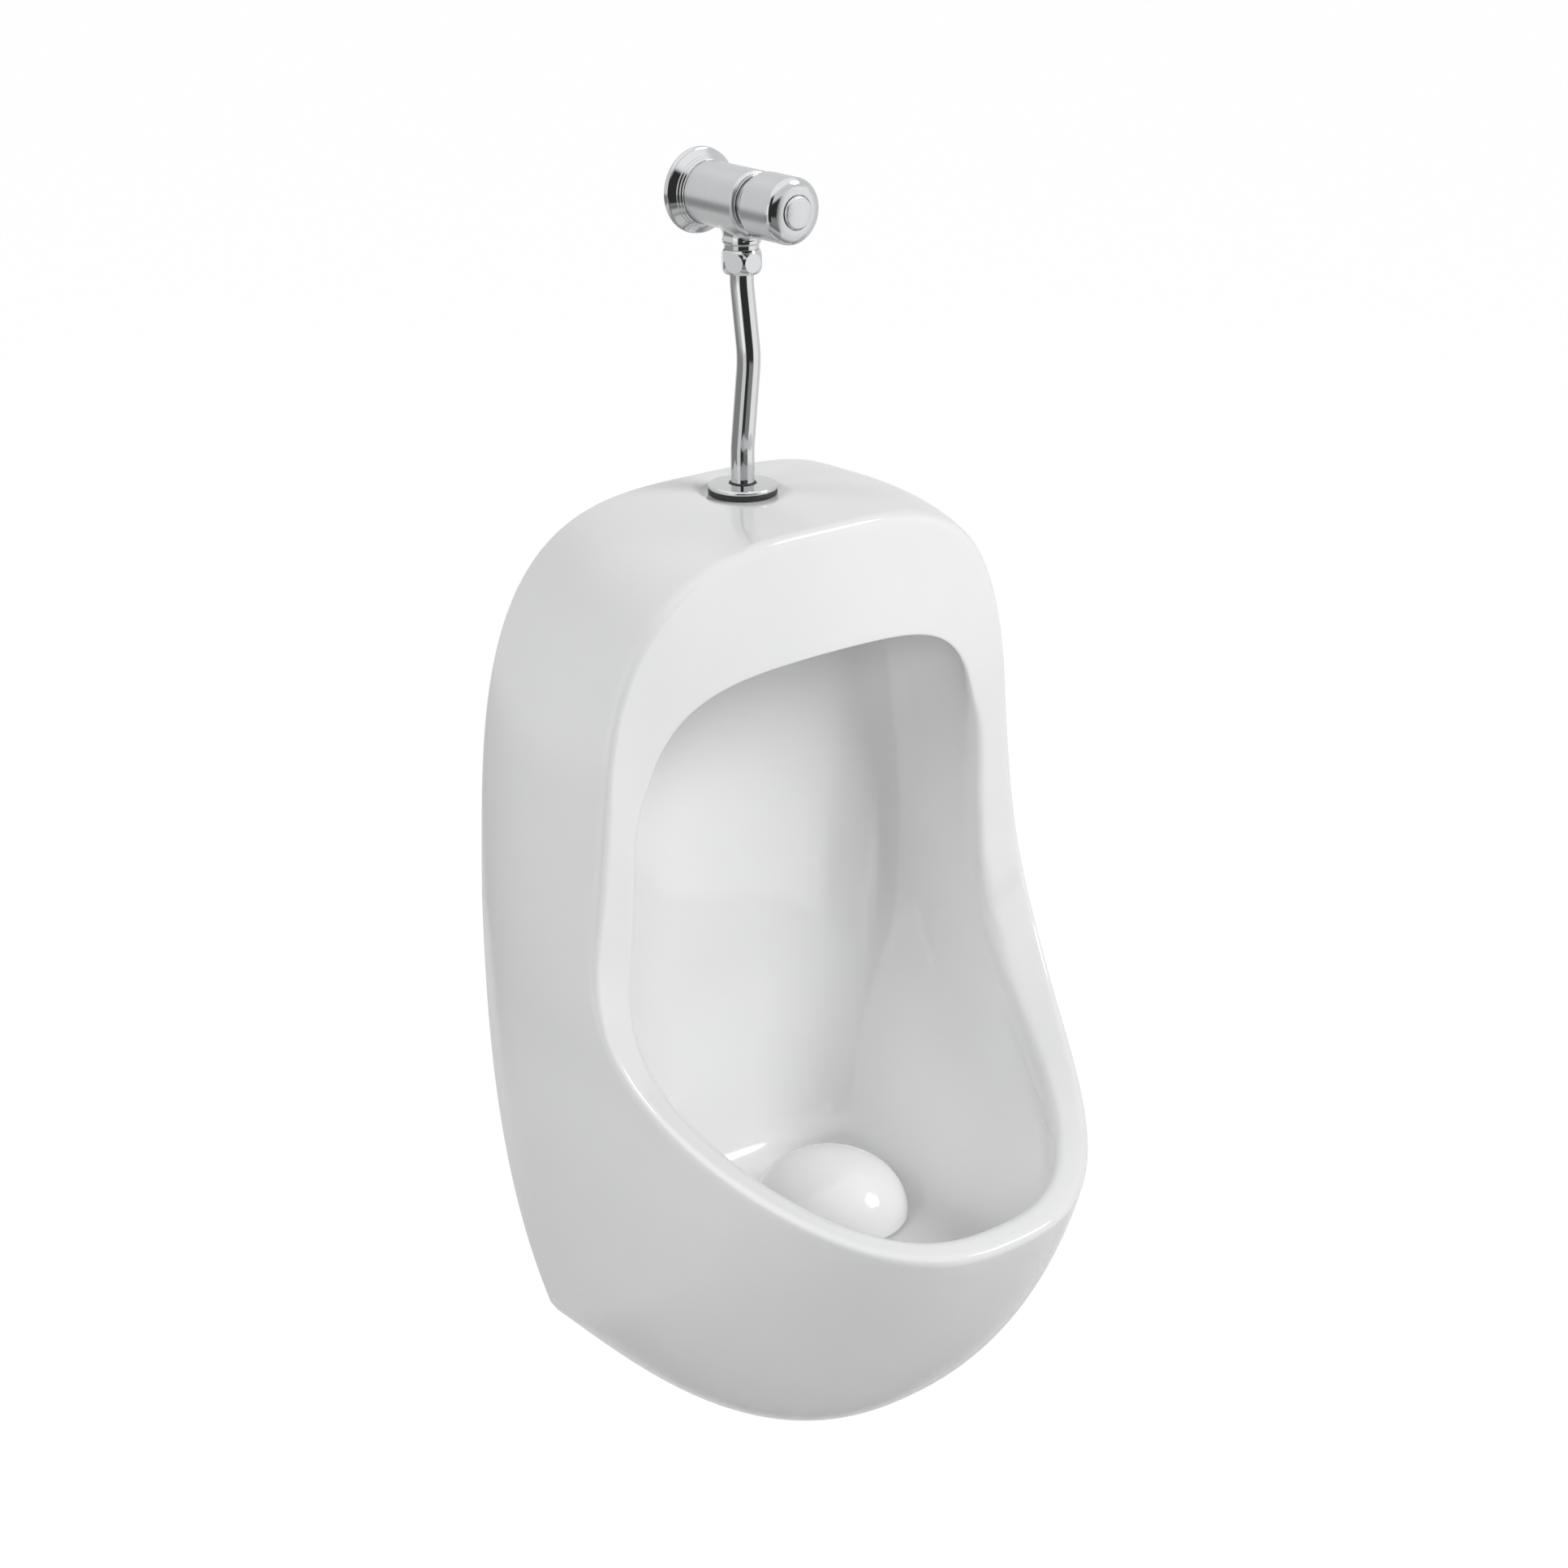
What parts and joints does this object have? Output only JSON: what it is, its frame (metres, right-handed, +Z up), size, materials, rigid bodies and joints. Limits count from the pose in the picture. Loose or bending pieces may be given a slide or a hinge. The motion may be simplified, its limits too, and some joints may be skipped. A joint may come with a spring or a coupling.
{
  "type": "urinal",
  "caption": "Wall-hung ceramic urinal with a push flush valve, an exposed flush pipe, a domed drain cover and a bottle trap.",
  "frame": {"origin": "centre of the four hanger bolts in the wall plane", "axes": "+Y into the wall, +Z up, the front of the bowl faces -Y"},
  "size_m": [0.353, 0.3173, 0.787],
  "materials": {
    "glazed_ceramic": "glossy white vitreous glaze",
    "chrome": "polished chrome plate",
    "satin_chrome": "satin chrome plate",
    "brass": "machined",
    "stainless_steel": "drawn and brushed",
    "zinc_steel": "pressed, zinc plated",
    "black_rubber": "matte moulded",
    "white_plastic": "moulded"
  },
  "bodies": {
    "urinal": {"ceramic_body": "glazed_ceramic", "wall_hangers": "zinc_steel", "wall_escutcheon": "chrome", "inlet_nipple": "brass", "valve_body": "chrome", "valve_seat": "brass", "bonnet": "chrome", "spindle_seal": "black_rubber", "return_spring": "stainless_steel", "union_nut": "chrome", "union_seal": "black_rubber", "flush_pipe": "chrome", "pipe_grommet": "black_rubber", "inlet_rosette": "chrome", "inlet_washer": "black_rubber", "inlet_spud": "brass", "pipe_o_ring": "black_rubber", "spud_gasket": "black_rubber", "spud_nut": "brass", "spray_head": "white_plastic", "waste_body": "stainless_steel", "waste_gasket": "black_rubber", "waste_washer": "black_rubber", "waste_locknut": "white_plastic", "trap_inlet_nut": "white_plastic", "trap_inlet_seal": "black_rubber", "trap_head": "white_plastic", "dip_tube": "white_plastic", "trap_cup": "white_plastic", "trap_cup_seal": "black_rubber", "outlet_nut": "white_plastic", "outlet_seal": "black_rubber", "outlet_pipe": "white_plastic"},
    "flush_knob": {"push_knob": "chrome", "button_cap": "satin_chrome", "knob_screw": "stainless_steel", "spindle": "stainless_steel", "poppet": "brass", "poppet_seal": "black_rubber"},
    "cover": {"drain_cover": "white_plastic"}
  },
  "joints": [
    {"name": "knob_push", "type": "slide", "parent": "urinal", "child": "flush_knob", "axis": [0, 1, 0], "range_m": [0, 0.006], "stiffness_N_per_m": 1200, "springref_m": -0.006, "deforming": ["return_spring"]},
    {"name": "cover_lift", "type": "slide", "parent": "urinal", "child": "cover", "axis": [0, 0, 1], "range_m": [0, 0.03]}
  ]
}
